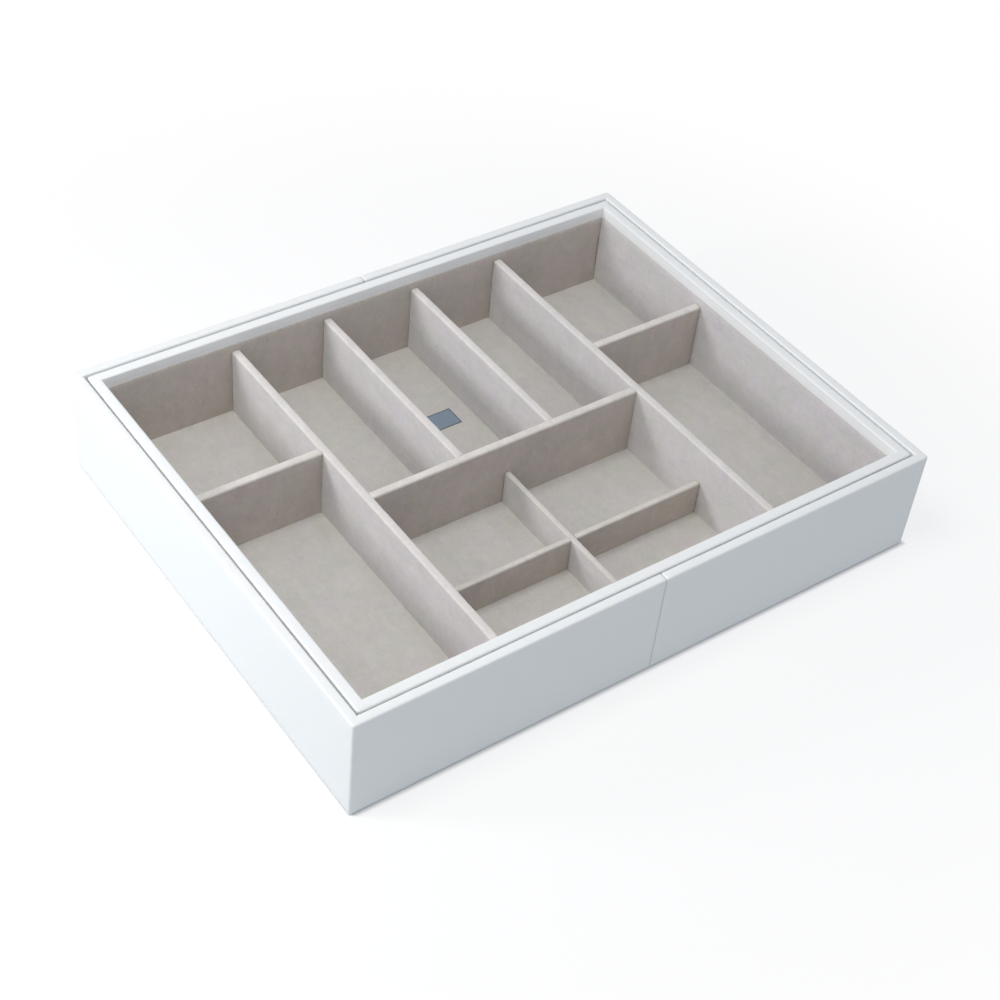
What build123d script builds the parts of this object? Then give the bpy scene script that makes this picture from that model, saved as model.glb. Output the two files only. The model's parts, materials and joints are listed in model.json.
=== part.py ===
from build123d import *
import os

# Extendable jewellery tray for a drawer. A lined tray with eleven compartments lies in a sleeve
# made of two halves, left and right, which meet at mid length. Each half pulls out along X and
# bares one more lined compartment at its end. Guide studs in the halves' floors run in T-shaped
# slots under the tray, carry glide nuts that keep the tray down, and stop the travel both ways.
# +X runs along the length, +Y to the back, +Z up. The origin is at the middle of the underside.
# All sizes are in millimetres.

# The closed object as a whole
outer_length = 380.0
outer_width = 297.6
overall_height = 68.1
travel = 110.0
seam_gap = 0.3
running_gap = 1.15
slide_clearance = 0.3

# Leather covering, on the tray and on both halves
leather = 0.7
corner_radius = 1.6
edge_radius = 1.0

# Sleeve halves
half_board = 4.3
half_floor_board = 3.6
half_lap = 2.0
half_turn_in = 12.0
half_lining = 0.5
seam_radius = 0.8
felt_thickness = 0.8
felt_inset = 1.2

# Tray box
tray_rim_drop = 0.4
tray_board = 5.0
tray_base_board = 4.0
tray_lap = 2.5
tray_turn_in = 14.0
floor_liner = 2.2
wall_liner = 0.6
wall_liner_drop = 7.0
wall_liner_radius = 0.25
lining_gap = 0.3

# Dividers: a board core wrapped in velvet over its faces, top and ends
divider_board = 4.0
divider_velvet = 0.45
divider_drop = 4.4
divider_edge_radius = 0.9
long_divider_offset = 93.1
middle_divider_y = -8.3
side_divider_y = 35.9

# Low dividers in the front middle, halved over each other where they cross
low_board = 2.6
low_velvet = 0.4
low_height = 22.6
low_edge_radius = 0.7
low_divider_y = -72.7
halving_clearance = 0.2

# Blank label on the floor of the middle back compartment
label_length = 35.6
label_width = 14.3
label_thickness = 0.4
label_corner = 0.6
label_y = 65.3

# Guide studs and glide nuts
stud_inset = 14.0
stud_offset = 85.0
stud_shank_radius = 2.0
stud_head_radius = 4.0
stud_head_height = 1.5
stud_slot_width = 1.0
stud_slot_depth = 0.8
stud_hole_clearance = 0.05
head_recess = 0.3
head_side_clearance = 0.5
nut_radius = 4.2
nut_height = 1.4
nut_side_clearance = 0.3
shank_side_clearance = 0.25
stop_clearance = 0.3

# Levels above the underside
wall_bottom = felt_thickness
half_floor_top = wall_bottom + half_floor_board
half_lining_top = half_floor_top + half_lining
tray_bottom = half_lining_top + slide_clearance
tray_base_top = tray_bottom + tray_base_board
floor_level = tray_base_top + floor_liner
sleeve_rim = overall_height
tray_rim = sleeve_rim - tray_rim_drop
liner_top = tray_rim - wall_liner_drop
divider_height = liner_top - divider_drop - floor_level
nut_top = tray_base_top - slide_clearance
nut_bottom = nut_top - nut_height
ledge_top = nut_bottom - slide_clearance

# Half sizes in plan, from the outside inwards
sleeve_x = outer_length / 2
sleeve_y = outer_width / 2
sleeve_inner_x = sleeve_x - leather - half_board
sleeve_inner_y = sleeve_y - leather - half_board
tray_x = sleeve_inner_x - leather - running_gap
tray_y = sleeve_inner_y - leather - running_gap
tray_inner_x = tray_x - leather - tray_board
tray_inner_y = tray_y - leather - tray_board
opening_x = tray_inner_x - leather
opening_y = tray_inner_y - leather
cell_x = opening_x - wall_liner
cell_y = opening_y - wall_liner
liner_end_x = cell_x - lining_gap
seam_x = seam_gap / 2
seam_board_x = seam_x + leather
stud_x = seam_board_x + stud_inset

os.makedirs("parts", exist_ok=True)


def keep(piece, name):
    """Labels a finished piece and writes it under its name."""
    piece.part.label = name
    export_step(piece.part, f"parts/{name}.step")


def block(x, y, z, mode=Mode.ADD):
    """A block between two places on each axis, in the piece being made."""
    with Locations(((x[0] + x[1]) / 2, (y[0] + y[1]) / 2, z[0])):
        Box(x[1] - x[0], y[1] - y[0], z[1] - z[0], align=(Align.CENTER, Align.CENTER, Align.MIN), mode=mode)


def about(place, thickness):
    """The two faces of a sheet of that thickness, centred on a place."""
    return (place - thickness / 2, place + thickness / 2)


def both(reach):
    """From minus a reach to plus that reach."""
    return (-reach, reach)


def outward(side, near, far):
    """From near to far along X, towards the left (side -1) or the right (side +1)."""
    return tuple(sorted((side * near, side * far)))


def ring(half_x, half_y, radius, z):
    """A prism with rounded upright corners, which trims boards to the inside of their covering."""
    with BuildSketch(Plane.XY.offset(z[0])) as plan:
        RectangleRounded(half_x * 2, half_y * 2, radius)
    extrude(plan.sketch, amount=z[1] - z[0], mode=Mode.INTERSECT)


def board(name, x, y, z, laps=(), trim=None):
    """A flat board with the seats of its neighbours cut out, its outer corners rounded to trim."""
    with BuildPart() as piece:
        block(x, y, z)
        for lap in laps:
            block(*lap, mode=Mode.SUBTRACT)
        if trim:
            ring(*trim, z)
    keep(piece, name)


def leather_cover(name, outer, inner, z, turn_in, inside, floor, side=0):
    """Leather wrapped round standing walls: from the floor's edge under their foot, up the outside, over
    the rim and down the inside by the turn-in. On a sleeve half, named by its side, the ends at the seam
    are wrapped too."""

    def walls(inset):
        """The walls in plan, drawn in from their covered faces by an inset."""
        RectangleRounded((outer[0] - inset) * 2, (outer[1] - inset) * 2, corner_radius - inset)
        Rectangle((inner[0] - leather + inset) * 2, (inner[1] - leather + inset) * 2, mode=Mode.SUBTRACT)
        if side:
            with Locations((-side * (outer[0] - seam_x - inset), 0)):
                Rectangle(outer[0] * 2, outer[1] * 2, mode=Mode.SUBTRACT)

    with BuildPart() as cover:
        with BuildSketch(Plane.XY.offset(z[0])) as plan:
            walls(0)
            if side:
                seam_ends = plan.vertices().filter_by_position(Axis.X, *about(side * seam_x, seam_x))
                fillet(seam_ends, seam_radius)
        extrude(amount=z[1] - z[0])
        flats = cover.faces().filter_by(Axis.Z)
        fillet(flats.edges(), edge_radius)
        with BuildSketch(Plane.XY.offset(z[0] + leather)):
            walls(leather)
        extrude(amount=z[1] - z[0] - leather * 2, mode=Mode.SUBTRACT)
        block(*inside, (z[0], z[1] - turn_in), Mode.SUBTRACT)
        block(*floor, (z[0], z[0] + leather), Mode.SUBTRACT)
    keep(cover, name)


# Sleeve halves

half_trim = (sleeve_x - leather, sleeve_y - leather, corner_radius - leather)
half_wall_z = (wall_bottom + leather, sleeve_rim - leather)
half_lining_z = (half_lining_top, sleeve_rim - half_turn_in)


def half_walls(side, name):
    """Front, back and end boards lapped at their corners, the floor let into all three, and the leather."""
    wall_x = outward(side, seam_board_x, sleeve_x - leather)
    inside = (outward(side, seam_board_x, sleeve_inner_x), both(sleeve_inner_y))
    floor = (outward(side, seam_board_x, sleeve_inner_x + half_lap), both(sleeve_inner_y + half_lap))
    floor_z = (wall_bottom, half_floor_top)
    end = (outward(side, sleeve_inner_x, sleeve_x - leather), both(sleeve_inner_y + half_lap), half_wall_z)
    seats = (end, (*floor, floor_z))
    board(f"{name}_front_board", wall_x, (leather - sleeve_y, -sleeve_inner_y), half_wall_z, seats, half_trim)
    board(f"{name}_back_board", wall_x, (sleeve_inner_y, sleeve_y - leather), half_wall_z, seats, half_trim)
    board(f"{name}_end_board", *end, seats[1:])
    with BuildPart() as floor_board:
        block(*floor, floor_z)
        underside = [Plane((side * stud_x, y, wall_bottom), z_dir=(0, 0, -1)) for y in both(stud_offset)]
        with Locations(*underside):
            CounterBoreHole(stud_shank_radius + stud_hole_clearance, stud_head_radius + head_side_clearance,
                            stud_head_height + head_recess)
    keep(floor_board, f"{name}_floor_board")
    leather_cover(f"{name}_leather_cover", (sleeve_x, sleeve_y), (sleeve_inner_x, sleeve_inner_y),
                  (wall_bottom, sleeve_rim), half_turn_in, inside, floor, side)


def half_linings(side, name):
    """Flocked lining glued to the floor and the inner faces, up to the turned-in leather."""
    length = outward(side, seam_board_x, sleeve_inner_x)
    with BuildPart() as floor:
        block(length, both(sleeve_inner_y), (half_floor_top, half_lining_top))
        with Locations(*[(side * stud_x, y) for y in both(stud_offset)]):
            Hole(stud_shank_radius + stud_hole_clearance)
    keep(floor, f"{name}_floor_lining")
    board(f"{name}_front_lining", length, (-sleeve_inner_y, half_lining - sleeve_inner_y), half_lining_z)
    board(f"{name}_back_lining", length, (sleeve_inner_y - half_lining, sleeve_inner_y), half_lining_z)
    board(f"{name}_end_lining", outward(side, sleeve_inner_x - half_lining, sleeve_inner_x),
          both(sleeve_inner_y - half_lining), half_lining_z)


def half_felt(side, name):
    """Felt on the whole underside, which covers the stud heads and is what the tray stands on."""
    felt_x = outward(side, seam_board_x, sleeve_x - felt_inset)
    board(f"{name}_base_felt", felt_x, both(sleeve_y - felt_inset), (0, felt_thickness))


def half_guides(side, name):
    """Two slotted studs up through the floor, and the round glide nuts on their ends."""
    upright = (Align.CENTER, Align.CENTER, Align.MIN)
    head_bottom = wall_bottom + head_recess
    with BuildPart() as studs:
        with Locations(*[(side * stud_x, y, head_bottom) for y in both(stud_offset)]):
            Cylinder(stud_head_radius, stud_head_height, align=upright)
            Cylinder(stud_shank_radius, nut_top - head_bottom, align=upright)
            Box(stud_head_radius * 2, stud_slot_width, stud_slot_depth, align=upright, mode=Mode.SUBTRACT)
    keep(studs, f"{name}_guide_studs")
    with BuildPart() as nuts:
        with Locations(*[(side * stud_x, y, nut_bottom) for y in both(stud_offset)]):
            Cylinder(nut_radius, nut_height, align=upright)
            Cylinder(stud_shank_radius + stud_hole_clearance, nut_height, align=upright, mode=Mode.SUBTRACT)
    keep(nuts, f"{name}_glide_nuts")


for side, name in ((-1, "left"), (1, "right")):
    half_walls(side, name)
    half_linings(side, name)
    half_felt(side, name)
    half_guides(side, name)

# Tray box: front and back boards between corner laps, two end boards, and a base let into all four

tray_trim = (tray_x - leather, tray_y - leather, corner_radius - leather)
tray_wall_x = both(tray_x - leather)
tray_wall_z = (tray_bottom + leather, tray_rim - leather)
tray_floor = (both(tray_inner_x + tray_lap), both(tray_inner_y + tray_lap))
tray_base = (*tray_floor, (tray_bottom, tray_base_top))
tray_left_end = (outward(-1, tray_inner_x, tray_x - leather), both(tray_inner_y + tray_lap), tray_wall_z)
tray_right_end = (outward(1, tray_inner_x, tray_x - leather), both(tray_inner_y + tray_lap), tray_wall_z)
tray_seats = (tray_left_end, tray_right_end, tray_base)
board("tray_front_board", tray_wall_x, (leather - tray_y, -tray_inner_y), tray_wall_z, tray_seats, tray_trim)
board("tray_back_board", tray_wall_x, (tray_inner_y, tray_y - leather), tray_wall_z, tray_seats, tray_trim)
board("tray_left_board", *tray_left_end, (tray_base,))
board("tray_right_board", *tray_right_end, (tray_base,))
leather_cover("tray_leather_cover", (tray_x, tray_y), (tray_inner_x, tray_inner_y), (tray_bottom, tray_rim),
              tray_turn_in, (both(tray_inner_x), both(tray_inner_y)), tray_floor)

# Base board with four T-shaped slots: narrow below for the shank, wide above for the nut
with BuildPart() as tray_base_part:
    block(*tray_base)
    slot_places = [(side * (stud_x + travel / 2), y) for side in (-1, 1) for y in both(stud_offset)]
    slot_run = travel + stop_clearance * 2
    with BuildSketch(Plane.XY.offset(tray_bottom)):
        with Locations(*slot_places):
            SlotCenterToCenter(slot_run, (stud_shank_radius + shank_side_clearance) * 2)
    extrude(amount=ledge_top - tray_bottom, mode=Mode.SUBTRACT)
    with BuildSketch(Plane.XY.offset(ledge_top)):
        with Locations(*slot_places):
            SlotCenterToCenter(slot_run, (nut_radius + nut_side_clearance) * 2)
    extrude(amount=tray_base_top - ledge_top, mode=Mode.SUBTRACT)
keep(tray_base_part, "tray_base_board")


def soften_top(piece, radius):
    """Rounds every edge of the piece's top, as cloth does where it folds over a board."""
    fillet(piece.faces().sort_by(Axis.Z)[-1].edges(), radius)


# Velvet-covered card on the base board
board("tray_floor_liner", both(tray_inner_x), both(tray_inner_y), (tray_base_top, floor_level))


def wall_liner_card(name, x, y):
    """A velvet-covered card that stands on the floor card against a wall."""
    with BuildPart() as card:
        block(x, y, (floor_level, liner_top))
        soften_top(card, wall_liner_radius)
    keep(card, name)


wall_liner_card("tray_left_liner", (-opening_x, -cell_x), both(opening_y))
wall_liner_card("tray_right_liner", (cell_x, opening_x), both(opening_y))
wall_liner_card("tray_front_liner", both(liner_end_x), (-opening_y, -cell_y))
wall_liner_card("tray_back_liner", both(liner_end_x), (cell_y, opening_y))


def divider(name, x, y, core, velvet, height, radius, halving=None):
    """A board core and the velvet wrapped round it, along the longer of x and y, which are the faces of what
    it stands between. It is halved, top or bottom, where another crosses it."""
    along_x = x[1] - x[0] > y[1] - y[0]
    run = x if along_x else y
    run = (run[0] + lining_gap, run[1] - lining_gap)
    x, y = (run, y) if along_x else (x, run)
    core_run = (run[0] + velvet, run[1] - velvet)
    core_x = core_run if along_x else about((x[0] + x[1]) / 2, core)
    core_y = about((y[0] + y[1]) / 2, core) if along_x else core_run
    core_z = (floor_level, floor_level + height - velvet)
    with BuildPart() as wrap:
        block(x, y, (floor_level, floor_level + height))
        soften_top(wrap, radius)
        block(core_x, core_y, core_z, Mode.SUBTRACT)
        if halving:
            block(*halving, mode=Mode.SUBTRACT)
    keep(wrap, f"{name}_velvet")
    board(f"{name}_core", core_x, core_y, core_z, (halving,) if halving else ())


# Dividers; the two at the back part the middle into three equal compartments

back_divider_offset = long_divider_offset / 3
divider_thickness = divider_board + divider_velvet * 2
tall = (divider_board, divider_velvet, divider_height, divider_edge_radius)
left_x = about(-long_divider_offset, divider_thickness)
right_x = about(long_divider_offset, divider_thickness)
middle_y = about(middle_divider_y, divider_thickness)
side_y = about(side_divider_y, divider_thickness)

divider("left_long_divider", left_x, both(cell_y), *tall)
divider("right_long_divider", right_x, both(cell_y), *tall)
divider("middle_divider", (left_x[1], right_x[0]), middle_y, *tall)
divider("back_left_divider", about(-back_divider_offset, divider_thickness), (middle_y[1], cell_y), *tall)
divider("back_right_divider", about(back_divider_offset, divider_thickness), (middle_y[1], cell_y), *tall)
divider("left_side_divider", (-cell_x, left_x[0]), side_y, *tall)
divider("right_side_divider", (right_x[1], cell_x), side_y, *tall)

low_thickness = low_board + low_velvet * 2
low = (low_board, low_velvet, low_height, low_edge_radius)
low_x = about(0, low_thickness)
low_y = about(low_divider_y, low_thickness)
halving_x = about(0, low_thickness + halving_clearance * 2)
halving_y = about(low_divider_y, low_thickness + halving_clearance * 2)
halving_level = floor_level + low_height / 2
lower_half = (floor_level, halving_level + halving_clearance)
upper_half = (halving_level, floor_level + low_height)
divider("low_long_divider", low_x, (-cell_y, middle_y[0]), *low, (low_x, halving_y, lower_half))
divider("low_cross_divider", (left_x[1], right_x[0]), low_y, *low, (halving_x, low_y, upper_half))

# Blank label
with BuildPart() as label:
    with BuildSketch(Plane.XY.offset(floor_level)):
        with Locations((0, label_y)):
            RectangleRounded(label_length, label_width, label_corner)
    extrude(amount=label_thickness)
keep(label, "blank_label")
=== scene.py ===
import json
import math

import bmesh
import bpy
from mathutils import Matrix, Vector, noise


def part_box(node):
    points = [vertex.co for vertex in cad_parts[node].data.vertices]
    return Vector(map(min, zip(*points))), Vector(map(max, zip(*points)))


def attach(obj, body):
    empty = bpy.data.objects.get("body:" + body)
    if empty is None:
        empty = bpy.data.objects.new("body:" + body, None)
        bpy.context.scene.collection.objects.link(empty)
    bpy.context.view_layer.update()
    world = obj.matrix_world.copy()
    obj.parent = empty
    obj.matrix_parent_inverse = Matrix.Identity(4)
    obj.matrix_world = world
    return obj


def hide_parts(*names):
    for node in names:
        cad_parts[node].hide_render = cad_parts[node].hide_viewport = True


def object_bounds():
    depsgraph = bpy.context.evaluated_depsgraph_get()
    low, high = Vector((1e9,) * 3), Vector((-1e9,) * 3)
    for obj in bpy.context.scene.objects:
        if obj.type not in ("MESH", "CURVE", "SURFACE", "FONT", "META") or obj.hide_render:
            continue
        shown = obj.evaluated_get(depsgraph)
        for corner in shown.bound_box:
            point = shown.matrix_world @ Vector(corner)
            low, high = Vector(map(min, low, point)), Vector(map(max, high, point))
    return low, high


# Extendable jewellery tray: the leatherette wraps, velvet coverings, felt, label and finishes that go round
# the frame's boards. Everything is in metres, in the frame's own axes.

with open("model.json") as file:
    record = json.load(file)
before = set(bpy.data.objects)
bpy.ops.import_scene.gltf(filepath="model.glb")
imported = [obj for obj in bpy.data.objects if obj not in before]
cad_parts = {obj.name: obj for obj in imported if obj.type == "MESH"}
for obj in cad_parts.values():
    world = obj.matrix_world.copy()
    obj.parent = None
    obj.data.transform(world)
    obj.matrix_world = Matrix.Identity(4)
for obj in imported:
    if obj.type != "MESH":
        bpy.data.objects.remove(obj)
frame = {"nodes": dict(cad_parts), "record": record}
cad_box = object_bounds()

MM = 0.001

# The sleeve's halves, and the side along X to which each one slides out
HALVES = {"left": -1, "right": 1}

# The tall dividers, and which of their ends, -1 or 1, are pressed into another divider
LONG_DIVIDERS = {"left_long_divider": (), "right_long_divider": (), "back_left_divider": (-1,),
                 "back_right_divider": (-1,)}
CROSS_DIVIDERS = {"middle_divider": (-1, 1), "left_side_divider": (1,), "right_side_divider": (-1,)}

# Leatherette wraps. Waves and ripples are given as their height, then their size.
TRAY_TURN_IN = 14 * MM
CORNER_RADIUS = 1.6 * MM
EDGE_RADIUS = 1.0 * MM
MITRE_WIDTH = 0.5 * MM
MITRE_DEPTH = 0.06 * MM
SEAM_EDGE = 1.2 * MM
SEAM_WAVER = 0.112 * MM
SEAM_WAVES = (25 * MM, 11 * MM)
SEAM_SEED = 900
FOOT_TURN = 0.5 * MM
WRAP_WAVES = (0.10 * MM, 28 * MM)
WRAP_RIPPLES = (0.05 * MM, 9 * MM)

# Leatherette finish. A pair says how far before the outer face or rim a look begins and is full.
LEATHER_WHITE = (0.815, 0.828, 0.818, 1)
LEATHER_HANDLED = (0.780, 0.786, 0.766, 1)
PEBBLE = 0.85 * MM
RIM_WEAR = 1.6 * MM
FOOT_WEAR = 2.2 * MM
CORNER_WEAR = 7 * MM
OUTER_FACE = (3 * MM, 2 * MM)
OUTER_RIM = (2 * MM, 0.8 * MM)
# Painted light: how much whiter the turned-in leather is painted, against the shade its walls cast on it
TURNED_IN_PAINTED_LIGHT = 0.08

# Velvet pieces. The waves and ripples of the floor's crown are given as shares of its height.
DIVIDER_RADIUS = 1.05 * MM
LOW_DIVIDER_RADIUS = 0.8 * MM
BUTT_RADIUS = 0.35 * MM
BUTT_PRESS = 0.55 * MM
HALVING_ROOM = 0.2 * MM
SLEEVE_FOOT = 0.3 * MM
SLEEVE_WAVES = (0.13 * MM, 19 * MM)
SLEEVE_RIPPLES = (0.06 * MM, 6 * MM)
LINER_RADIUS = 0.5 * MM
LINER_UNEVEN = 0.12 * MM
LINER_SLACK = 0.55 * MM
SLACK_EDGE = 0.6 * MM
LINING_RADIUS = 0.15 * MM
LINING_UNEVEN = 0.03 * MM
CARD_WAVE = 17 * MM
CARD_RIPPLE = 6 * MM
FLOOR_CROWN = 0.3 * MM
CROWN_SLOPE = 9 * MM
CROWN_EVEN = 0.7
CROWN_WAVES = (0.35, 16 * MM)
CROWN_RIPPLES = (0.15, 6 * MM)

# Velvet finish: how far its strokes run along each axis, how lively its clouds are, and the nap's colour.
# It is one fabric, painted as lit and shaded copies: paler and cooler on the floors and on the long sides
# that face the lamps, darker and warmer on the cross faces in shade, whose livelier clouds stand in for
# shading
FLOOR_NAP_AS_LIT = {"brushed": (7 * MM, 32 * MM, 7 * MM), "lively": 1.1, "nap": (0.606, 0.578, 0.542)}
LONG_NAP_AS_LIT = {"brushed": (30 * MM, 30 * MM, 6 * MM), "lively": 1.2, "nap": (0.624, 0.601, 0.594)}
CROSS_NAP_AS_SHADED = {"brushed": (9 * MM, 9 * MM, 26 * MM), "lively": 1.5, "nap": (0.563, 0.507, 0.456)}
# Painted highlight on the dividers' tops: its colours, and how far below the top it begins and is full
LONG_TOP_HIGHLIGHT = (0.678, 0.640, 0.604)
CROSS_TOP_HIGHLIGHT = (0.726, 0.697, 0.651)
LOW_LONG_TOP_HIGHLIGHT = (0.616, 0.581, 0.534)
LOW_CROSS_TOP_HIGHLIGHT = (0.665, 0.630, 0.580)
HIGHLIGHT_EDGES = (1.9 * MM, 0.9 * MM)
HIGHLIGHT_FLAT = 0.5 * MM
# Painted shade along the top of the wall liners: its colour, and how far below the top it begins and is full
LINER_TOP_SHADE = (0.42, 0.39, 0.37, 1)
SHADED_TOP_EDGE = (0.55 * MM, 0.3 * MM)
TALL_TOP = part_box("middle_divider_velvet")[1].z
LOW_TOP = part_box("low_long_divider_velvet")[1].z
LINER_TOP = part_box("tray_back_liner")[1].z

# Felt and label
FELT_RADIUS = 0.25 * MM
FELT_EDGE = 0.5 * MM
FELT_FRAY = 0.12 * MM
FRAY_SIZE = 5 * MM
FELT_GREY = (0.150, 0.138, 0.127)
LABEL_CORNER = 0.4 * MM
LABEL_BORDER = 0.7 * MM
LABEL_STEP = 0.15 * MM
LABEL_SUNK = 0.08 * MM
LABEL_LIFT = 0.25 * MM
LABEL_FLAT = 0.8
LABEL_WAVES = (0.03 * MM, 7 * MM)
LABEL_THREAD = 0.28 * MM
LABEL_BLUE = (0.255, 0.315, 0.395, 1)
LABEL_EDGE_BLUE = (0.130, 0.150, 0.200, 1)

# What is hidden inside
BOARD_BROWN = (0.285, 0.175, 0.098, 1)
BOARD_SPECKS = (0.120, 0.066, 0.034, 1)
ZINC = (0.60, 0.61, 0.63, 1)
DULL_ZINC = (0.46, 0.46, 0.44, 1)
MILKY_WHITE = (0.71, 0.68, 0.60)

# How finely surfaces are cut before they are given their unevenness
WRAP_PITCH = 4.5 * MM
VELVET_PITCH = 3.5 * MM
LINING_PITCH = 6 * MM
FELT_PITCH = 4 * MM
LABEL_PITCH = 1.5 * MM

# From which angle an edge shades sharp, below which one it is flat, what part of a face's normal along an
# axis makes it square to that axis, and how close points are one
SHARP_ANGLE = math.radians(38)
FLAT_ANGLE = 0.02
SQUARE_ON = 0.9
NEAR = 0.01 * MM
SEWN = 0.001 * MM
SNAP = 0.0001 * MM

# Camera at the photograph's angle
EYE = (-0.505265, -0.616214, 0.743734)
TURN = (46.9276, -4.8202, -35.1946)
LENS = 67.231
SENSOR = 36
FARTHEST = 20

# Lamps: angle round from +X, angle above the floor, distance, size, power and colour
WINDOW_LAMP = (160, 24, 0.9, 0.18, 2.68, (1.00, 0.985, 1.015))
CEILING_LAMP = (183, 67, 1.3, 0.42, 6.22, (1.015, 1.018, 0.967))
SKY_COLOUR = (0.950, 0.982, 1.080, 1)
SKY_STRENGTH = 0.553

# Floor: what the object receives from it, what the camera sees of it, and where it runs out into plain white
FLOOR_REACH = 6
FLOOR_DROP = 0.1 * MM
FLOOR_BOUNCE = (0.41, 0.44, 0.45, 1)
FLOOR_GLOW = 0.28
FLOOR_WHITE = (0.93, 0.93, 0.93, 1)
PLAIN_WHITE = (1, 1, 1, 1)
BLACK = (0, 0, 0, 1)
CONTACT_SHADOW = 3 * MM
SHADOW_NEAR = 0.26
SHADOW_FAR = 0.50
WHITE_NEAR = 0.74


class Wire:
    """A socket in a node tree. Arithmetic on it adds Math nodes."""

    def __init__(self, nodes, socket):
        self.nodes = nodes
        self.socket = socket

    def math(self, operation, *values):
        return self.nodes.node("ShaderNodeMath", {"operation": operation}, dict(enumerate(values)))

    def __add__(self, other):
        return self.math("ADD", self, other)

    def __radd__(self, other):
        return self.math("ADD", other, self)

    def __sub__(self, other):
        return self.math("SUBTRACT", self, other)

    def __rsub__(self, other):
        return self.math("SUBTRACT", other, self)

    def __mul__(self, other):
        return self.math("MULTIPLY", self, other)

    def __rmul__(self, other):
        return self.math("MULTIPLY", other, self)

    def __abs__(self):
        return self.math("ABSOLUTE", self)

    def smallest(self, other):
        return self.math("MINIMUM", self, other)

    def largest(self, other):
        return self.math("MAXIMUM", self, other)

    def sine(self):
        return self.math("SINE", self)

    def root(self):
        return self.math("SQRT", self)


class Nodes:
    """The nodes of a material or of the world."""

    def __init__(self, tree):
        self.tree = tree

    def node(self, kind, settings=None, inputs=None, output=0):
        """Adds a node with its settings and the values or wires of its sockets. Gives back one output."""
        node = self.tree.nodes.new(kind)
        for name, value in (settings or {}).items():
            setattr(node, name, value)
        for socket, value in (inputs or {}).items():
            self.feed(node.inputs[socket], value)
        return Wire(self, node.outputs[output])

    def feed(self, socket, value):
        if isinstance(value, Wire):
            self.tree.links.new(value.socket, socket)
        else:
            socket.default_value = value

    def place(self, size=(1, 1, 1), shift=(0, 0, 0)):
        """Object coordinates, counted in the given size along each axis."""
        raw = self.node("ShaderNodeTexCoord", output="Object")
        return self.node("ShaderNodeMapping", {"vector_type": "POINT"},
                         {"Vector": raw, "Scale": [1 / step for step in size], "Location": shift})

    def along(self):
        """The three object coordinates, each as a number in metres."""
        raw = self.node("ShaderNodeTexCoord", output="Object")
        return [self.node("ShaderNodeSeparateXYZ", None, {0: raw}, axis) for axis in range(3)]

    def clouds(self, size, detail=2.0, rough=0.5, wander=0.0, shift=(0, 0, 0)):
        """Soft noise about zero with features of that size, given once or along each axis."""
        size = size if isinstance(size, tuple) else (size, size, size)
        inputs = {"Vector": self.place(size, shift), "Scale": 1.0, "Detail": detail, "Roughness": rough,
                  "Distortion": wander}
        return self.node("ShaderNodeTexNoise", None, inputs) - 0.5

    def pebbles(self, size, wander):
        """Height of pebbled grain from 0 in its creases to 1, with pebbles of that size."""
        bend = self.node("ShaderNodeTexNoise", None, {"Vector": self.place((size,) * 3), "Scale": 0.6}, 1)
        shifted = self.node("ShaderNodeVectorMath", {"operation": "MULTIPLY_ADD"},
                            {0: bend, 1: (wander,) * 3, 2: self.place((size,) * 3)})
        inputs = {"Vector": shifted, "Scale": 1.0, "Randomness": 0.95}
        edge = self.node("ShaderNodeTexVoronoi", {"feature": "DISTANCE_TO_EDGE"}, inputs)
        return self.ramp(edge, 0.0, 0.28)

    def ramp(self, value, start, end):
        """Runs smoothly from 0 at start to 1 at end."""
        inputs = {"Value": value, "From Min": start, "From Max": end}
        return self.node("ShaderNodeMapRange", {"interpolation_type": "SMOOTHSTEP"}, inputs)

    def nearing(self, value, end, start, full=0):
        """Runs smoothly from 0 at one distance before an end to 1 at a smaller one."""
        return self.ramp(value, end - start, end - full)

    def mix(self, colour, other, share):
        """The first colour where the share is 0, the other where it is 1."""
        # A Mix node's colour sockets are 6 and 7, and its colour output is 2
        return self.node("ShaderNodeMix", {"data_type": "RGBA"}, {0: share, 6: colour, 7: other}, 2)

    def brighten(self, colour, factor):
        return self.node("ShaderNodeVectorMath", {"operation": "SCALE"}, {0: colour, "Scale": factor})

    def bump(self, height, depth, under=None):
        """A normal for a height of 0 to 1 that stands the given depth, over another bump if given."""
        inputs = {"Height": height, "Distance": depth, "Strength": 1.0}
        if under:
            inputs["Normal"] = under
        return self.node("ShaderNodeBump", None, inputs)


class Finish(Nodes):
    """A material whose even properties are set on the shader, and whose varying ones are fed to it."""

    def __init__(self, name, **even):
        self.material = bpy.data.materials.new(name)
        self.material.use_nodes = True
        super().__init__(self.material.node_tree)
        self.shader = self.tree.nodes["Principled BSDF"]
        for socket, value in even.items():
            self.feed(self.shader.inputs[socket.replace("_", " ")], value)

    def varies(self, colour, roughness, normal):
        self.feed(self.shader.inputs["Base Color"], colour)
        self.feed(self.shader.inputs["Roughness"], roughness)
        self.feed(self.shader.inputs["Normal"], normal)
        return self.material


# Materials


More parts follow.
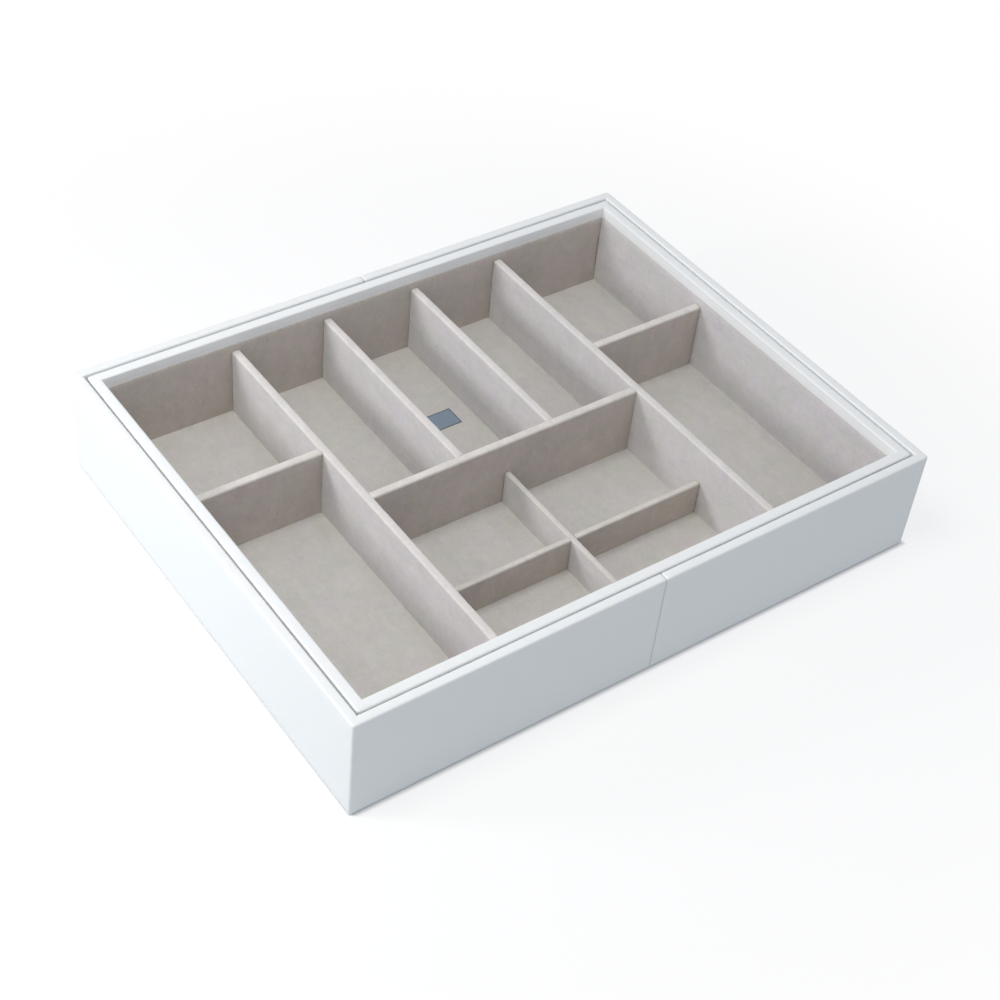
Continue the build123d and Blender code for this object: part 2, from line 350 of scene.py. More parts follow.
def leatherette(name, low, high):
    """White coated cloth with a fine pebbled grain, for the wrap between two corners of its box.

    It is handled smooth and faintly grey on its rim, foot and corners. Where it is turned in, painted light
    makes it whiter against the shade that its own walls cast there.
    """
    finish = Finish(name, IOR=1.47)
    x, y, z = finish.along()
    grain = finish.pebbles(PEBBLE, 0.5)
    pores = finish.clouds(0.3 * MM, 2.0)
    tone = finish.clouds(70 * MM, 2.0)
    patches = finish.clouds(11 * MM, 3.0, 0.6, 0.4)
    rim = finish.nearing(z, high.z, RIM_WEAR)
    foot = 1 - finish.ramp(z, low.z, low.z + FOOT_WEAR)
    corner_x = finish.nearing(abs(x), high.x, CORNER_WEAR)
    corner_y = finish.nearing(abs(y), high.y, CORNER_WEAR)
    wear = (rim * 0.45).largest(corner_x * corner_y * 0.8).largest(foot * 0.7)
    wear = wear * finish.ramp(patches, -0.16, 0.2)
    colour = finish.mix(LEATHER_WHITE, LEATHER_HANDLED, wear)
    # Painted light: the turned-in faces below the rim are painted whiter
    outside_x = finish.nearing(abs(x), high.x, *OUTER_FACE)
    outside_y = finish.nearing(abs(y), high.y, *OUTER_FACE)
    below_rim = 1 - finish.nearing(z, high.z, *OUTER_RIM)
    painted_light_inside = (1 - outside_x.largest(outside_y)) * below_rim
    shade = 0.994 + tone * 0.02 + patches * 0.018 + grain * 0.012 + pores * 0.012
    colour = finish.brighten(colour, shade + painted_light_inside * TURNED_IN_PAINTED_LIGHT)
    roughness = 0.47 + patches * 0.10 - grain * 0.05 - wear * 0.10
    waves = finish.bump(finish.clouds(16 * MM, 2.0, 0.4), 0.12 * MM)
    return finish.varies(colour, roughness, finish.bump(grain * 0.8 + pores * 0.5, 0.035 * MM, waves))


def velvet(name, brushed, lively, nap, painted_light=None):
    """Short greige nap. It was brushed along one direction, and its clouds and strokes lie that way."""
    lilac = (nap[0] * 1.010, nap[1] * 0.993, nap[2] * 1.034, 1)
    green = (nap[0] * 0.968, nap[1] * 1.008, nap[2] * 0.972, 1)
    finish = Finish(name, Specular_IOR_Level=0.12, Sheen_Weight=0.28, Sheen_Roughness=0.42,
                    Sheen_Tint=(0.96, 0.92, 0.88, 1))
    hue = finish.clouds(13 * MM, 3.0, 0.5, 0.6, (3, 7, 1))
    clouds = finish.clouds(13 * MM, 4.0, 0.62, 0.9)
    patches = finish.clouds(4.5 * MM, 3.0, 0.55, 0.7, (5, 2, 8))
    flecks = finish.clouds(1.5 * MM, 2.0, 0.6, 0.4, (2, 9, 4))
    scuffed = tuple(step * 0.28 for step in brushed)
    scuffs = finish.ramp(finish.clouds(scuffed, 2.0, 0.6, 1.6, (8, 1, 3)), 0.07, 0.20)
    scuffs = scuffs * finish.ramp(finish.clouds(30 * MM, 2.0, 0.5, 0.5, (6, 6, 2)), -0.05, 0.12)
    strokes = finish.clouds(brushed, 3.0, 0.6, 0.5, (1, 4, 6))
    grain = finish.clouds(0.55 * MM, 3.0, 0.7)
    colour = finish.mix((*nap, 1), lilac, finish.ramp(hue, 0.0, 0.2))
    colour = finish.mix(colour, green, finish.ramp(0 - hue, 0.0, 0.2))
    # Painted light: a divider's top painted paler as a highlight, a liner's top painted darker as shade
    if painted_light:
        colour = painted_light(finish, colour)
    tone = clouds * 0.16 + patches * 0.12 + flecks * 0.12 + strokes * 0.11 + grain * 0.24 - scuffs * 0.055
    # Partly painted light: the shaded copies get livelier clouds, standing in for shading the light doesn't
    # bring out
    colour = finish.brighten(colour, 1 + tone * lively)
    roughness = 0.93 + grain * 0.12 + clouds * 0.06
    lie = finish.bump(strokes * 0.6 + clouds * 0.4, 0.35 * MM)
    return finish.varies(colour, roughness, finish.bump(grain, 0.16 * MM, lie))


def painted_top_highlight(highlight_colour, top):
    """Painted highlight: the top of a divider is painted paler, most of all along its two edges."""
    def painted_light(finish, colour):
        z = finish.along()[2]
        edges = finish.nearing(z, top, *HIGHLIGHT_EDGES)
        flat = finish.nearing(z, top, HIGHLIGHT_FLAT)
        return finish.mix(colour, (*highlight_colour, 1), edges - flat * 0.3)
    return painted_light


def paint_liner_top_shade(finish, colour):
    """Painted shade: the top edge of a wall liner is painted darker, so its upward face shows less light."""
    shaded_edge = finish.nearing(finish.along()[2], LINER_TOP, *SHADED_TOP_EDGE)
    return finish.mix(colour, LINER_TOP_SHADE, shaded_edge * 0.55)


def felt():
    """Needled grey-brown felt with loose fibres."""
    finish = Finish("needled_felt", Specular_IOR_Level=0.15, Sheen_Weight=0.25, Sheen_Roughness=0.5)
    fibres = finish.clouds((2.4 * MM, 0.25 * MM, 0.6 * MM), 3.0, 0.7, 1.6)
    tufts = finish.clouds(1.1 * MM, 3.0, 0.7)
    shade = finish.clouds(20 * MM, 2.0)
    colour = finish.brighten(FELT_GREY, 1 + fibres * 0.6 + tufts * 0.5 + shade * 0.2)
    return finish.varies(colour, 0.95 + tufts * 0.08, finish.bump(fibres + tufts, 0.3 * MM))


def fibreboard():
    """Raw medium-density board: fine pale and dark fibres on brown."""
    finish = Finish("raw_fibreboard", Specular_IOR_Level=0.25)
    fibres = finish.clouds((1.8 * MM, 0.5 * MM, 0.5 * MM), 4.0, 0.7, 1.2)
    crossed = finish.clouds((0.5 * MM, 1.7 * MM, 0.5 * MM), 4.0, 0.7, 1.2, (2, 5, 3))
    shade = finish.clouds(35 * MM, 2.0)
    specks = finish.ramp(finish.clouds(1.3 * MM, 2.0, 0.6), 0.14, 0.24)
    colour = finish.mix(BOARD_BROWN, BOARD_SPECKS, specks * 0.7)
    colour = finish.brighten(colour, 1 + fibres * 0.5 + crossed * 0.4 + shade * 0.15)
    return finish.varies(colour, 0.78 + fibres * 0.2, finish.bump(fibres + crossed, 0.06 * MM))


def plated_steel():
    """Zinc-plated steel with faint spangle and fine turning marks."""
    finish = Finish("zinc_plated_steel", Metallic=1.0)
    spangle = finish.clouds(1.6 * MM, 3.0, 0.6)
    turning = finish.clouds((3 * MM, 3 * MM, 0.12 * MM), 2.0)
    colour = finish.mix(ZINC, DULL_ZINC, finish.ramp(spangle, 0.0, 0.3))
    roughness = 0.33 + spangle * 0.25 + turning * 0.15
    return finish.varies(colour, roughness, finish.bump(turning + spangle * 0.5, 0.02 * MM))


def nylon():
    """Milky nylon with a faint moulding haze."""
    finish = Finish("milky_nylon", Subsurface_Weight=0.15, Subsurface_Radius=(2 * MM, 2 * MM, 2 * MM))
    haze = finish.clouds(2.2 * MM, 3.0)
    colour = finish.brighten(MILKY_WHITE, 1 + haze * 0.08)
    return finish.varies(colour, 0.42 + haze * 0.2, finish.bump(haze, 0.03 * MM))


def woven_label():
    """Bare woven satin tape: blue-grey, with a darker woven border."""
    low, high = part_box("blank_label")
    centre = (low + high) / 2
    finish = Finish("blue_grey_tape", Specular_IOR_Level=0.4)
    x, y, z = finish.along()
    edge_x = (high.x - centre.x) - abs(x - centre.x)
    edge_y = (high.y - centre.y) - abs(y - centre.y)
    inner = finish.ramp(edge_x.smallest(edge_y), LABEL_BORDER * 0.75, LABEL_BORDER * 1.2)
    weft = (y * (math.tau / LABEL_THREAD)).sine()
    warp = (x * (math.tau / (LABEL_THREAD * 3))).sine()
    slub = finish.clouds((6 * MM, 0.3 * MM, 1 * MM), 2.0)
    colour = finish.mix(LABEL_EDGE_BLUE, LABEL_BLUE, inner)
    colour = finish.brighten(colour, 1 + weft * 0.07 + warp * 0.04 + slub * 0.25)
    return finish.varies(colour, 0.52 + slub * 0.2, finish.bump(weft * 0.5 + warp * 0.3, 0.06 * MM))


# Mesh tools


def box_between(low, high):
    """A closed box between two corners."""
    bm = bmesh.new()
    bmesh.ops.create_cube(bm, size=1)
    bmesh.ops.scale(bm, vec=high - low, verts=bm.verts)
    bmesh.ops.translate(bm, vec=(high + low) / 2, verts=bm.verts)
    bm.normal_update()
    return bm


def once(items):
    """The items in their order, each one once."""
    return list(dict.fromkeys(items))


def cut(bm, axis, place, **clear):
    """Cuts the mesh square to an axis, at a place along it."""
    normal = Vector((axis == 0, axis == 1, axis == 2))
    everything = bm.verts[:] + bm.edges[:] + bm.faces[:]
    bmesh.ops.bisect_plane(bm, geom=everything, dist=SNAP, plane_co=normal * place, plane_no=normal, **clear)


def tile(bm, pitch, axes=(0, 1, 2)):
    """Cuts the mesh into tiles of about that pitch."""
    for axis in axes:
        places = [v.co[axis] for v in bm.verts]
        low, high = min(places), max(places)
        count = max(1, round((high - low) / pitch))
        for step in range(1, count):
            cut(bm, axis, low + (high - low) * step / count)
    bmesh.ops.remove_doubles(bm, verts=bm.verts, dist=2 * NEAR)


def soften(bm, edges, radius, segments=4):
    """Rounds edges to a radius."""
    bmesh.ops.bevel(bm, geom=edges, offset=radius, offset_type="OFFSET", affect="EDGES", segments=segments,
                    profile=0.5, material=-1, clamp_overlap=False)
    bmesh.ops.remove_doubles(bm, verts=bm.verts, dist=2 * NEAR)
    bm.normal_update()


def turned(edge, first, second):
    """True if one of the edge's two faces points along the first axis and the other along the second."""
    if len(edge.link_faces) != 2:
        return False
    normals = [face.normal for face in edge.link_faces]
    return any(abs(a[first]) > SQUARE_ON and abs(b[second]) > SQUARE_ON for a, b in (normals, normals[::-1]))


def uneven(bm, amount, size, seed, rests=None):
    """Moves each point along its normal by soft noise, but leaves a side that rests on something."""
    bm.normal_update()
    shift = Vector((seed, seed * 0.7, seed * 1.3))
    for v in bm.verts:
        if rests is None or v.normal.dot(rests) < 0.3:
            v.co += v.normal * amount * noise.noise(v.co / size + shift)


def thicken(piece, shell):
    """Gives an open skin its thickness, inwards from its outer face."""
    solidify = piece.modifiers.new("thickness", "SOLIDIFY")
    solidify.thickness = shell
    solidify.offset = -1
    solidify.use_even_offset = False
    solidify.use_quality_normals = True
    shaped = piece.evaluated_get(bpy.context.evaluated_depsgraph_get())
    thin = piece.data
    piece.data = bpy.data.meshes.new_from_object(shaped)
    piece.modifiers.remove(solidify)
    bpy.data.meshes.remove(thin)
    piece.data.name = piece.name


def make(bm, name, body, material, replaced, shell=0):
    """Turns a mesh in the making into a finished piece, with a wall thickness if it is an open skin."""
    bmesh.ops.recalc_face_normals(bm, faces=bm.faces)
    piece = bpy.data.objects.new(name, bpy.data.meshes.new(name))
    bpy.context.scene.collection.objects.link(piece)
    bm.to_mesh(piece.data)
    bm.free()
    if shell:
        thicken(piece, shell)
    piece.data.shade_smooth()
    piece.data.set_sharp_from_angle(angle=SHARP_ANGLE)
    piece.data.materials.append(material)
    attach(piece, body)
    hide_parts(replaced)
    return piece


# Leatherette wraps


def board_leather(node):
    """Thickness of the leatherette on the front board of a wrap."""
    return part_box(node.replace("leather_cover", "front_board"))[0].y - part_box(node)[0].y


def wall_ring(reach, levels, wall):
    """Closed walls of one thickness round a rectangle."""
    bm = box_between(Vector((-reach[0], -reach[1], levels[0])), Vector((*reach, levels[1])))
    flats = [face for face in bm.faces if abs(face.normal.z) > SQUARE_ON]
    bmesh.ops.inset_individual(bm, faces=flats, thickness=wall, use_even_offset=True)
    loops = once(edge for face in flats for edge in face.edges)
    bmesh.ops.delete(bm, geom=flats, context="FACES_ONLY")
    bmesh.ops.bridge_loops(bm, edges=loops)
    bmesh.ops.recalc_face_normals(bm, faces=bm.faces)
    bm.normal_update()
    return bm


def end_at_seam(bm, seam):
    """Takes away the walls beyond the seam and closes their ends."""
    cut(bm, 0, seam, **{"clear_inner" if seam > 0 else "clear_outer": True})
    bmesh.ops.holes_fill(bm, edges=[edge for edge in bm.edges if edge.is_boundary])
    bmesh.ops.recalc_face_normals(bm, faces=bm.faces)
    bm.normal_update()


def round_walls(bm, inner, seam):
    """Rounds the outer corners, then the rims, the outer feet and the ends at the seam."""
    uprights = [e for e in bm.edges if turned(e, 0, 1) and all(abs(v.co.x) > inner[0] + MM for v in e.verts)]
    soften(bm, uprights, CORNER_RADIUS, 6)
    bent = [e for e in bm.edges if e.calc_face_angle(0) > 1]
    rims = [e for e in bent if any(f.normal.z > SQUARE_ON for f in e.link_faces)]
    feet = [e for e in bent if any(f.normal.z < -SQUARE_ON for f in e.link_faces)
            and all(abs(v.co.x) > inner[0] + MM or abs(v.co.y) > inner[1] + MM for v in e.verts)]
    ends = [e for e in bm.edges if seam and turned(e, 0, 1) and all(abs(v.co.x - seam) < MM for v in e.verts)]
    soften(bm, once(rims + feet + ends), EDGE_RADIUS)


def open_inside(bm, levels, turn_in, boards, floor):
    """Takes away what would lie behind the linings and under the floor, where the wrap isn't glued on."""
    for axis in (0, 1):
        for side in (-1, 1):
            cut(bm, axis, side * boards[axis])
            cut(bm, axis, side * floor[axis])
    cut(bm, 2, levels[1] - turn_in)

    def within(place, half):
        return abs(place.x) < half[0] and abs(place.y) < half[1]

    lost = []
    for face in bm.faces:
        place = face.calc_center_median()
        behind_lining = within(place, boards) and place.z < levels[1] - turn_in
        under_floor = within(place, floor) and place.z < levels[0] + FOOT_TURN and face.normal.z < -0.5
        if behind_lining or under_floor:
            lost.append(face)
    bmesh.ops.delete(bm, geom=lost, context="FACES")


def mitre_folds(bm, reach, rim, wall):
    """Presses a narrow fold into the rim along the diagonal of each corner."""
    # A little more than the diagonal over the wall and its rounding
    span = (wall + 2 * MM) * 1.6
    for side_x in (-1, 1):
        for side_y in (-1, 1):
            corner = Vector((side_x * reach[0], side_y * reach[1], rim))
            across = Vector((side_x, -side_y, 0)).normalized()
            for step in (-1, 0, 1):
                near = [face for face in bm.faces if face.normal.z > 0.3
                        and (face.calc_center_median() - corner).length < span]
                edges = once(edge for face in near for edge in face.edges)
                points = once(v for face in near for v in face.verts)
                bmesh.ops.bisect_plane(bm, geom=near + edges + points, dist=SNAP, plane_no=across,
                                       plane_co=corner + across * MITRE_WIDTH * step)
            bm.normal_update()
            for v in bm.verts:
                offset = v.co - corner
                if offset.length < span and v.normal.z > 0.3 and abs(offset.dot(across)) < MITRE_WIDTH / 4:
                    v.co.z -= MITRE_DEPTH
    bmesh.ops.remove_doubles(bm, verts=bm.verts, dist=2 * NEAR)


def waver_seam(bm, seam):
    """Lets the folded ends at the seam waver a little, each half's in its own way."""
    for v in bm.verts:
        if abs(v.co.x - seam) < SEAM_EDGE:
            place = Vector((seam * SEAM_SEED, v.co.y / SEAM_WAVES[0], v.co.z / SEAM_WAVES[1]))
            v.co.x += SEAM_WAVER * noise.noise(place)


def leather_wrap(name, body, node, material, turn_in, boards, floor, seam=0):
    """Leatherette from under the foot of standing walls, up the outside, over the rim and down inside.

    The walls stand round the boards' inner faces, and the floor board keeps the wrap's underside open.
    """
    low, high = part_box(node)
    reach = (max(abs(low.x), high.x), high.y)
    levels = (low.z, high.z)
    leather = board_leather(node)
    wall = reach[0] - boards[0] + leather
    bm = wall_ring(reach, levels, wall)
    if seam:
        end_at_seam(bm, seam)
    round_walls(bm, (reach[0] - wall, reach[1] - wall), seam)
    open_inside(bm, levels, turn_in, boards, floor)
    tile(bm, WRAP_PITCH)
    mitre_folds(bm, reach, levels[1], wall)
    uneven(bm, *WRAP_WAVES, reach[0] * 100)
    uneven(bm, *WRAP_RIPPLES, reach[0] * 70)
    if seam:
        waver_seam(bm, seam)
    return make(bm, name, body, material, node, leather)


# Velvet pieces


def stand_off(bm, low, high, slack):
    """Lets the right end of a card stand off its neighbour near half height, and ripple a little."""
    for v in bm.verts:
        if v.co.x > high.x - SLACK_EDGE:
            height = (v.co.z - low.z) / (high.z - low.z)
            bow = math.sin(math.pi * min(1.0, height * 1.15))
            ripple = 0.25 * math.sin(22 * height)
            v.co.x -= slack * max(0.0, bow + ripple)


def soft_card(name, body, node, rests, material, radius=LINER_RADIUS, pitch=VELVET_PITCH, amount=LINER_UNEVEN,
              slack=0):
    """A card under velvet: its open edges are round and soft, and one side rests on what it is glued to."""
    low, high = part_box(node)
    rests = Vector(rests)
    bm = box_between(low, high)
    open_edges = [e for e in bm.edges if all(f.normal.dot(rests) < 0.5 for f in e.link_faces)
                  and any(f.normal.z >= 0.5 for f in e.link_faces)]
    soften(bm, open_edges, radius, 3)
    tile(bm, pitch)
    uneven(bm, amount, CARD_WAVE, len(name), rests)
    uneven(bm, amount * 0.5, CARD_RIPPLE, len(name) + 5, rests)
    if slack:
        stand_off(bm, low, high, slack)
    return make(bm, name, body, material, node)


def notch(bm, along, places, level, top):
    """Cuts a halving out of a low divider, from its top or from its foot to the level."""
    for place in places:
        cut(bm, along, place)
    cut(bm, 2, level)

    def within(point):
        return places[0] < point[along] < places[1] and (point.z > level) == top

    lost = [f for f in bm.faces if within(f.calc_center_median())]
    bmesh.ops.delete(bm, geom=lost, context="FACES")
    rim = once(v for e in bm.edges if e.is_boundary for v in e.verts)
    cheeks = [[v for v in rim if abs(v.co[along] - place) < NEAR and (v.co.z > level - NEAR if top
               else v.co.z < level + NEAR)] for place in places]
    seat = [v for v in rim if abs(v.co.z - level) < NEAR
            and places[0] - NEAR < v.co[along] < places[1] + NEAR]
    for corners in (*cheeks, seat):
        bmesh.ops.contextual_create(bm, geom=corners)
    bm.normal_update()


def divider_sleeve(name, material, radius, pressed=(), halving=None):
    """Velvet folded over a divider's board: both faces, the top and the ends, open at the foot.

    An end that is pressed into the soft top edge of another divider, -1 or 1, sinks a little into its nap.
    """
    node = f"{name}_velvet"
    low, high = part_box(node)
    core_low, core_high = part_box(f"{name}_core")
    along = 0 if high.x - low.x > high.y - low.y else 1
    shell = core_low[1 - along] - low[1 - along]
    if -1 in pressed:
        low[along] -= BUTT_PRESS
    if 1 in pressed:
        high[along] += BUTT_PRESS
    bm = box_between(low, high)
    feet = [face for face in bm.faces if face.normal.z < -SQUARE_ON]
    bmesh.ops.delete(bm, geom=feet, context="FACES_ONLY")
    soften(bm, [e for e in bm.edges if turned(e, 2, 1 - along)], radius, 5)
    ends = [face for face in bm.faces if abs(face.normal[along]) > SQUARE_ON]
    soften(bm, once(e for face in ends for e in face.edges if not e.is_boundary), BUTT_RADIUS, 2)
    if halving:
        notch(bm, along, *halving)
    tile(bm, VELVET_PITCH)
    uneven(bm, *SLEEVE_WAVES, len(name))
    uneven(bm, *SLEEVE_RIPPLES, len(name) + 3)
    for v in bm.verts:
        if v.co.z < low.z + SLEEVE_FOOT:
            v.co.z = low.z
    return make(bm, f"{name}_sleeve", "tray", material, node, shell)


def floor_pad(material, compartments):
    """The velvet-covered card under all compartments, very slightly fuller in the middle of each."""
    low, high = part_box("tray_floor_liner")
    bm = box_between(low, high)
    tile(bm, VELVET_PITCH, (0, 1))

    def fullness(place):
        best = 0.0
        for start, end in compartments:
            reach = min(place.x - start[0], end[0] - place.x, place.y - start[1], end[1] - place.y)
            best = max(best, min(1.0, reach / CROWN_SLOPE))
        return best * best * (3 - 2 * best)

    for v in bm.verts:
        if v.co.z > (low.z + high.z) / 2:
            rise = CROWN_EVEN
            for share, size in (CROWN_WAVES, CROWN_RIPPLES):
                rise += share * noise.noise(v.co / size)
            v.co.z += FLOOR_CROWN * fullness(v.co) * rise
    return make(bm, "tray_floor_velvet", "tray", material, "tray_floor_liner")


def flocked_floor(side, material):
    """The flocked lining on one half's floor, from the frame's own sheet with its stud holes."""
    node = f"{side}_floor_lining"
    bm = bmesh.new()
    bm.from_mesh(frame["nodes"][node].data)
    bmesh.ops.remove_doubles(bm, verts=bm.verts, dist=SEWN)
    bmesh.ops.dissolve_limit(bm, angle_limit=FLAT_ANGLE, verts=bm.verts, edges=bm.edges)
    return make(bm, f"{side}_floor_flock", f"{side}_half", material, node)


# Felt and label


def base_felt(side, material):
    """Felt under one half, with a soft cut edge."""
    node = f"{side}_base_felt"
    low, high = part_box(node)
    bm = box_between(low, high)
    soften(bm, [e for e in bm.edges if not turned(e, 0, 1)], FELT_RADIUS, 2)
    tile(bm, FELT_PITCH, (0, 1))
    middle = (low + high) / 2
    for v in bm.verts:
        away = v.co - middle
        inset = FELT_FRAY * (1 - abs(noise.noise(v.co / FRAY_SIZE)))
        for axis in (0, 1):
            if abs(away[axis]) > (high[axis] - low[axis]) / 2 - FELT_EDGE:
                v.co[axis] -= math.copysign(inset, away[axis])
    return make(bm, f"{side}_felt_pad", f"{side}_half", material, node)


def label_tape(material):
    """The bare label: a thin tape with round corners, raised border and slightly lifted ends."""
    low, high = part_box("blank_label")
    bm = box_between(low, high)
    soften(bm, [e for e in bm.edges if turned(e, 0, 1)], LABEL_CORNER, 3)
    for inset in (LABEL_BORDER, LABEL_BORDER + LABEL_STEP):
        for axis in (0, 1):
            cut(bm, axis, low[axis] + inset)
            cut(bm, axis, high[axis] - inset)
    tile(bm, LABEL_PITCH, (0, 1))
    middle = (low + high) / 2
    half = (high - low) / 2
    ripple, size = LABEL_WAVES
    for v in bm.verts:
        inner = min(half[axis] - abs(v.co[axis] - middle[axis]) for axis in (0, 1)) - LABEL_BORDER
        if v.co.z > middle.z and inner > LABEL_STEP / 2:
            v.co.z -= LABEL_SUNK
        end = abs(v.co.x - middle.x) / half.x
        lifted = max(0.0, end - LABEL_FLAT) / (1 - LABEL_FLAT)
        v.co.z += LABEL_LIFT * lifted + ripple * noise.noise(v.co / size)
    return make(bm, "bare_label", "tray", material, "blank_label")


# The object


def between_boards(end, front):
    """Half the room between facing boards, along the length and along the width."""
    return -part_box(end)[1].x, -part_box(front)[1].y


tray_leather = leatherette("tray_leatherette", *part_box("tray_leather_cover"))
sleeve_leather = leatherette("sleeve_leatherette", *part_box("right_leather_cover"))
# One velvet in painted light: lit and shaded copies, a painted highlight on dividers' tops, painted shade on
# liners' tops
floor_velvet = velvet("floor_velvet", **FLOOR_NAP_AS_LIT)
long_velvet = velvet("long_divider_velvet", painted_light=painted_top_highlight(LONG_TOP_HIGHLIGHT, TALL_TOP), **LONG_NAP_AS_LIT)
long_liner = velvet("long_liner_velvet", painted_light=paint_liner_top_shade, **LONG_NAP_AS_LIT)
cross_velvet = velvet("cross_divider_velvet", painted_light=painted_top_highlight(CROSS_TOP_HIGHLIGHT, TALL_TOP), **CROSS_NAP_AS_SHADED)
cross_liner = velvet("cross_liner_velvet", painted_light=paint_liner_top_shade, **CROSS_NAP_AS_SHADED)
low_long_velvet = velvet("low_long_velvet", painted_light=painted_top_highlight(LOW_LONG_TOP_HIGHLIGHT, LOW_TOP), **LONG_NAP_AS_LIT)
low_cross_velvet = velvet("low_cross_velvet", painted_light=painted_top_highlight(LOW_CROSS_TOP_HIGHLIGHT, LOW_TOP), **CROSS_NAP_AS_SHADED)
felt_finish = felt()

leather_wrap("tray_leather_wrap", "tray", "tray_leather_cover", tray_leather, TRAY_TURN_IN,
             between_boards("tray_left_board", "tray_front_board"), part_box("tray_base_board")[1][:2])
sleeve_boards = between_boards("left_end_board", "left_front_board")
sleeve_turn_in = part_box("right_leather_cover")[1].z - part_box("left_front_lining")[1].z
for side, sign in HALVES.items():
    body = f"{side}_half"
    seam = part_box(f"{side}_leather_cover")[1 if sign < 0 else 0].x
    floor_low, floor_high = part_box(f"{side}_floor_board")
    leather_wrap(f"{side}_leather_wrap", body, f"{side}_leather_cover", sleeve_leather, sleeve_turn_in,
                 sleeve_boards, (max(-floor_low.x, floor_high.x), floor_high.y), seam)
    base_felt(side, felt_finish)
    flocked_floor(side, floor_velvet)
    for wall, rests, flock in (("front", (0, -1, 0), cross_liner), ("back", (0, 1, 0), cross_liner),
                               ("end", (sign, 0, 0), long_liner)):
        soft_card(f"{side}_{wall}_flock", body, f"{side}_{wall}_lining", rests, flock, LINING_RADIUS,
                  LINING_PITCH, LINING_UNEVEN)

compartments = [opening["box_m"] for opening in frame["record"]["physics"]["openings"]
                if opening["name"].endswith("_compartment")]
floor_pad(floor_velvet, compartments)
soft_card("tray_front_velvet", "tray", "tray_front_liner", (0, -1, 0), cross_liner)
soft_card("tray_back_velvet", "tray", "tray_back_liner", (0, 1, 0), cross_liner, slack=LINER_SLACK)
soft_card("tray_left_velvet", "tray", "tray_left_liner", (-1, 0, 0), long_liner)
soft_card("tray_right_velvet", "tray", "tray_right_liner", (1, 0, 0), long_liner)

for name, pressed in LONG_DIVIDERS.items():
    divider_sleeve(name, long_velvet, DIVIDER_RADIUS, pressed)
for name, pressed in CROSS_DIVIDERS.items():
    divider_sleeve(name, cross_velvet, DIVIDER_RADIUS, pressed)
long_low, long_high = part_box("low_long_divider_velvet")
cross_low, cross_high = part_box("low_cross_divider_velvet")
halving = (long_low.z + long_high.z) / 2
divider_sleeve("low_long_divider", low_long_velvet, LOW_DIVIDER_RADIUS, (),
               ((cross_low.y - HALVING_ROOM, cross_high.y + HALVING_ROOM), halving + HALVING_ROOM, False))
divider_sleeve("low_cross_divider", low_cross_velvet, LOW_DIVIDER_RADIUS, (),
               ((long_low.x - HALVING_ROOM, long_high.x + HALVING_ROOM), halving, True))
label_tape(woven_label())

board_finish = fibreboard()
inner_finishes = {"_board": board_finish, "_core": board_finish, "_studs": plated_steel(), "_nuts": nylon()}
for name, node in frame["nodes"].items():
    for ending, finish in inner_finishes.items():
        if name.endswith(ending):
            node.data.materials.clear()
            node.data.materials.append(finish)


# Floor, light and camera


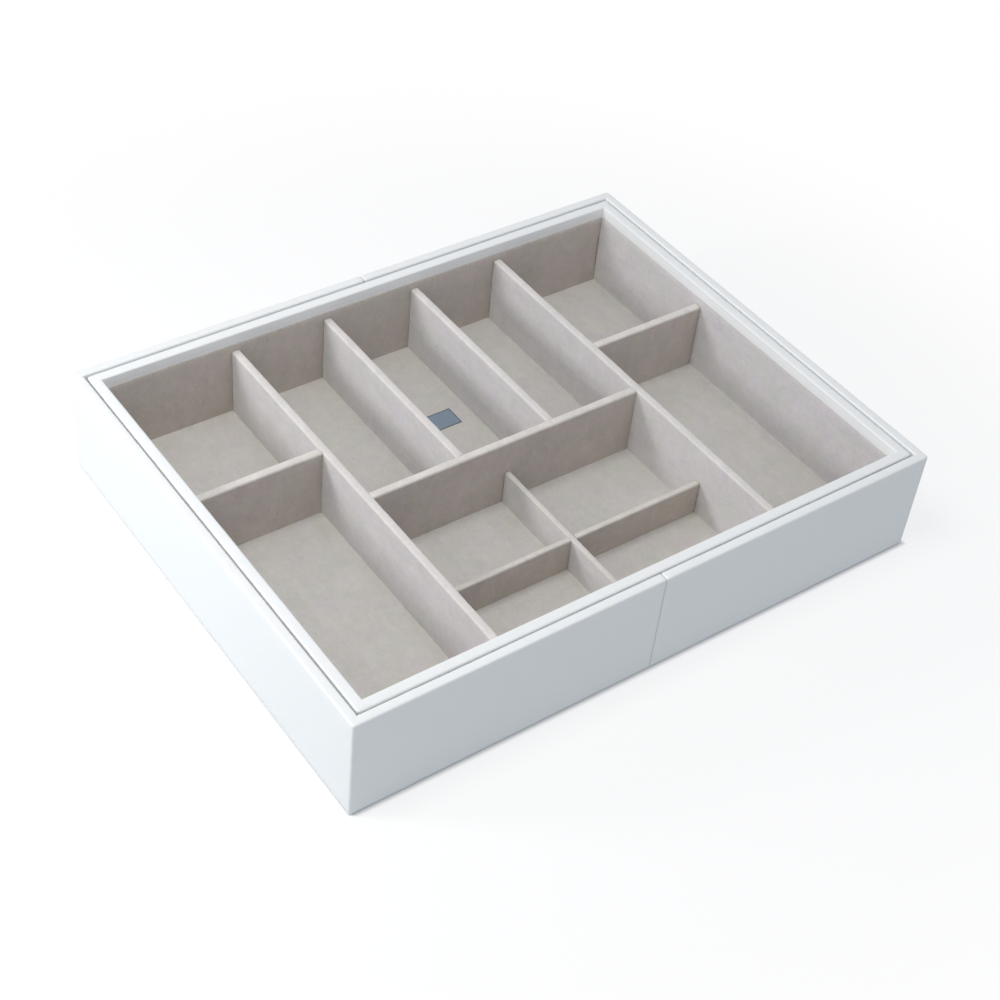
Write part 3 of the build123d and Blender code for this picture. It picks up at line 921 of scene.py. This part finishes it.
def studio_floor():
    """A pale floor that keeps the object's shadow near it and runs out into plain white.

    The camera sees it white. The object receives its bounce, and an even glow for the white sweep around it.
    """
    bm = bmesh.new()
    bmesh.ops.create_grid(bm, x_segments=1, y_segments=1, size=FLOOR_REACH)
    bmesh.ops.translate(bm, vec=(0, 0, -FLOOR_DROP), verts=bm.verts)
    mesh = bpy.data.meshes.new("studio_floor")
    bm.to_mesh(mesh)
    bm.free()
    finish = Finish("pale_floor", Roughness=1.0, Specular_IOR_Level=0.0,
                    Emission_Strength=FLOOR_GLOW / FLOOR_BOUNCE[1])
    x, y, z = finish.along()
    away = (x * x + y * y).root()
    white = finish.node("ShaderNodeEmission", None, {"Color": PLAIN_WHITE, "Strength": 1.0})
    seen = finish.node("ShaderNodeLightPath", None, None, "Is Camera Ray")
    finish.feed(finish.shader.inputs["Base Color"], finish.mix(FLOOR_BOUNCE, FLOOR_WHITE, seen))
    finish.feed(finish.shader.inputs["Emission Color"], finish.mix(FLOOR_BOUNCE, BLACK, seen))
    beside = (abs(x) - cad_box[1].x).largest(abs(y) - cad_box[1].y)
    contact = finish.ramp(beside, 0.0, CONTACT_SHADOW)
    plain = WHITE_NEAR + finish.ramp(away, SHADOW_NEAR, SHADOW_FAR) * (1 - WHITE_NEAR)
    lit = Wire(finish, finish.shader.outputs[0])
    mixed = finish.node("ShaderNodeMixShader", None, {0: seen * contact * plain, 1: lit, 2: white})
    finish.feed(finish.tree.nodes["Material Output"].inputs["Surface"], mixed)
    mesh.materials.append(finish.material)
    floor = bpy.data.objects.new("studio_floor", mesh)
    bpy.context.scene.collection.objects.link(floor)


def soft_lamp(name, azimuth, rise, distance, size, power, colour):
    """A soft square lamp at an angle round from +X and an angle above the floor, aimed at the tray."""
    lamp = bpy.data.lights.new(name, "AREA")
    lamp.shape = "SQUARE"
    lamp.size = size
    lamp.energy = power
    lamp.color = colour
    azimuth = math.radians(azimuth)
    rise = math.radians(rise)
    away = Vector((math.cos(azimuth) * math.cos(rise), math.sin(azimuth) * math.cos(rise), math.sin(rise)))
    light = bpy.data.objects.new(name, lamp)
    light.location = away * distance
    light.rotation_euler = away.to_track_quat("Z", "Y").to_euler()
    bpy.context.scene.collection.objects.link(light)


def sky():
    """Even soft light from all round, and white where the camera or a reflection sees it."""
    world = bpy.data.worlds.new("studio")
    world.use_nodes = True
    bpy.context.scene.world = world
    nodes = Nodes(world.node_tree)
    camera_ray, glossy_ray, clear_ray = [nodes.node("ShaderNodeLightPath", None, None, name) for name in
                                         ("Is Camera Ray", "Is Glossy Ray", "Is Transmission Ray")]
    shown = camera_ray.largest(glossy_ray).largest(clear_ray)
    back = nodes.tree.nodes["Background"]
    nodes.feed(back.inputs["Color"], nodes.mix(SKY_COLOUR, PLAIN_WHITE, shown))
    nodes.feed(back.inputs["Strength"], SKY_STRENGTH + shown * (1 - SKY_STRENGTH))


def camera():
    """The camera where the photograph was taken from."""
    view = bpy.data.cameras.new("camera")
    view.lens = LENS
    view.sensor_width = SENSOR
    view.clip_end = FARTHEST
    eye = bpy.data.objects.new("camera", view)
    eye.location = EYE
    eye.rotation_euler = [math.radians(angle) for angle in TURN]
    bpy.context.scene.collection.objects.link(eye)
    bpy.context.scene.camera = eye


studio_floor()
soft_lamp("window_lamp", *WINDOW_LAMP)
soft_lamp("ceiling_lamp", *CEILING_LAMP)
sky()
camera()
bpy.context.scene.view_settings.view_transform = "Standard"
